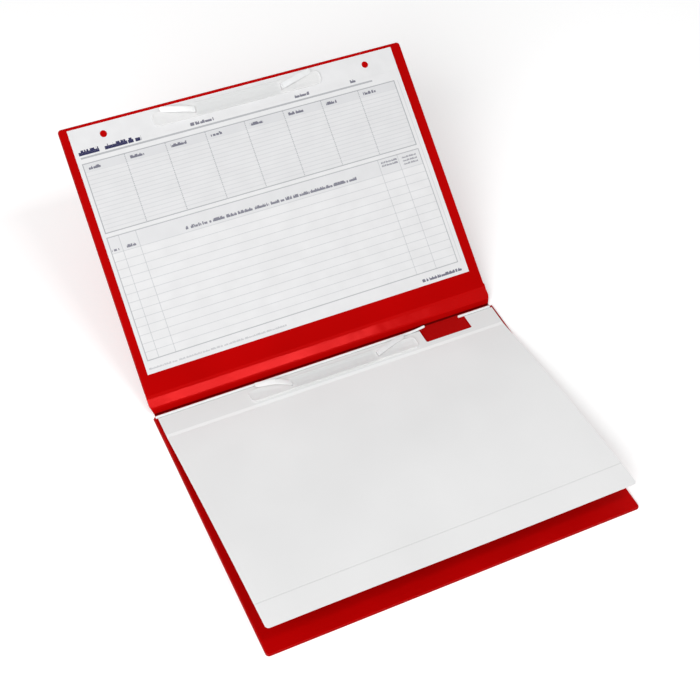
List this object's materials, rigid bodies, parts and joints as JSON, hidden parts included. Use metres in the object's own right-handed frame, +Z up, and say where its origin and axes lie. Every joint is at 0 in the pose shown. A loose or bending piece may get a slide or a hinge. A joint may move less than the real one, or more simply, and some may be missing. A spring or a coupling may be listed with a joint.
{
  "type": "clipboard folder",
  "caption": "Landscape A4 folder with stiff film covers on a film spine, a printed form clipped in the lid and a frosted plastic sheet clipped to the base by prong fasteners.",
  "frame": {"origin": "middle of the back cover's underside, on the desk", "axes": "+X along the fold to the reader's right, +Y from the back cover's front edge towards the fold, +Z up"},
  "size_m": [0.314, 0.4329, 0.1438],
  "materials": {
    "red_film": "calendered PVC film, fine grain, semi-gloss",
    "greyboard": "plain grey board",
    "form_paper": "uncoated white paper, ruled",
    "frosted_sheet": "frosted polypropylene sheet",
    "strip_plastic": "moulded white polypropylene",
    "fastener_plastic": "moulded natural polypropylene, slightly see-through"
  },
  "bodies": {
    "back_cover": {"back_outer_film": "red_film", "back_board": "greyboard", "back_inner_film": "red_film", "filing_strip": "strip_plastic", "back_pressure_bar": "fastener_plastic", "sheet_binding_edge": "frosted_sheet"},
    "spine": {"spine_outer_film": "red_film", "spine_inner_film": "red_film", "back_fold_seam": "red_film", "front_fold_seam": "red_film"},
    "front_cover": {"front_outer_film": "red_film", "front_board": "greyboard", "front_inner_film": "red_film", "front_fastener_base": "strip_plastic", "front_pressure_bar": "fastener_plastic", "form_binding_edge": "form_paper"},
    "plastic_sheet": {"sheet_leaf": "frosted_sheet"},
    "form": {"form_leaf": "form_paper"},
    "back_left_prong": {"back_left_tongue": "fastener_plastic"},
    "back_right_prong": {"back_right_tongue": "fastener_plastic"},
    "front_left_prong": {"front_left_tongue": "fastener_plastic"},
    "front_right_prong": {"front_right_tongue": "fastener_plastic"}
  },
  "joints": [
    {"name": "back_fold", "type": "hinge", "parent": "back_cover", "child": "spine", "pos_m": [0, 0.11575, 0.00055], "axis": [-1, 0, 0], "range_deg": [-55, 35]},
    {"name": "front_fold", "type": "hinge", "parent": "spine", "child": "front_cover", "pos_m": [0, 0.12722, 0.00858], "axis": [-1, 0, 0], "range_deg": [-90, 0]},
    {"name": "sheet_turn", "type": "hinge", "parent": "back_cover", "child": "plastic_sheet", "pos_m": [0, 0.08825, 0.0039], "axis": [-1, 0, 0], "range_deg": [-5, 94]},
    {"name": "form_turn", "type": "hinge", "parent": "front_cover", "child": "form", "pos_m": [0, 0.29599, 0.12932], "axis": [-1, 0, 0], "range_deg": [0, 98]},
    {"name": "back_left_tongue_fold", "type": "hinge", "parent": "back_cover", "child": "back_left_prong", "pos_m": [-0.0415, 0.09975, 0.0057], "axis": [0, 1, 0], "range_deg": [0, 90]},
    {"name": "back_right_tongue_fold", "type": "hinge", "parent": "back_cover", "child": "back_right_prong", "pos_m": [0.0385, 0.09975, 0.0057], "axis": [0, -1, 0], "range_deg": [0, 90]},
    {"name": "front_left_tongue_fold", "type": "hinge", "parent": "front_cover", "child": "front_left_prong", "pos_m": [-0.0415, 0.30438, 0.13739], "axis": [0, 0.8192, 0.5736], "range_deg": [0, 90]},
    {"name": "front_right_tongue_fold", "type": "hinge", "parent": "front_cover", "child": "front_right_prong", "pos_m": [0.0385, 0.30438, 0.13739], "axis": [0, -0.8192, -0.5736], "range_deg": [0, 90]}
  ]
}
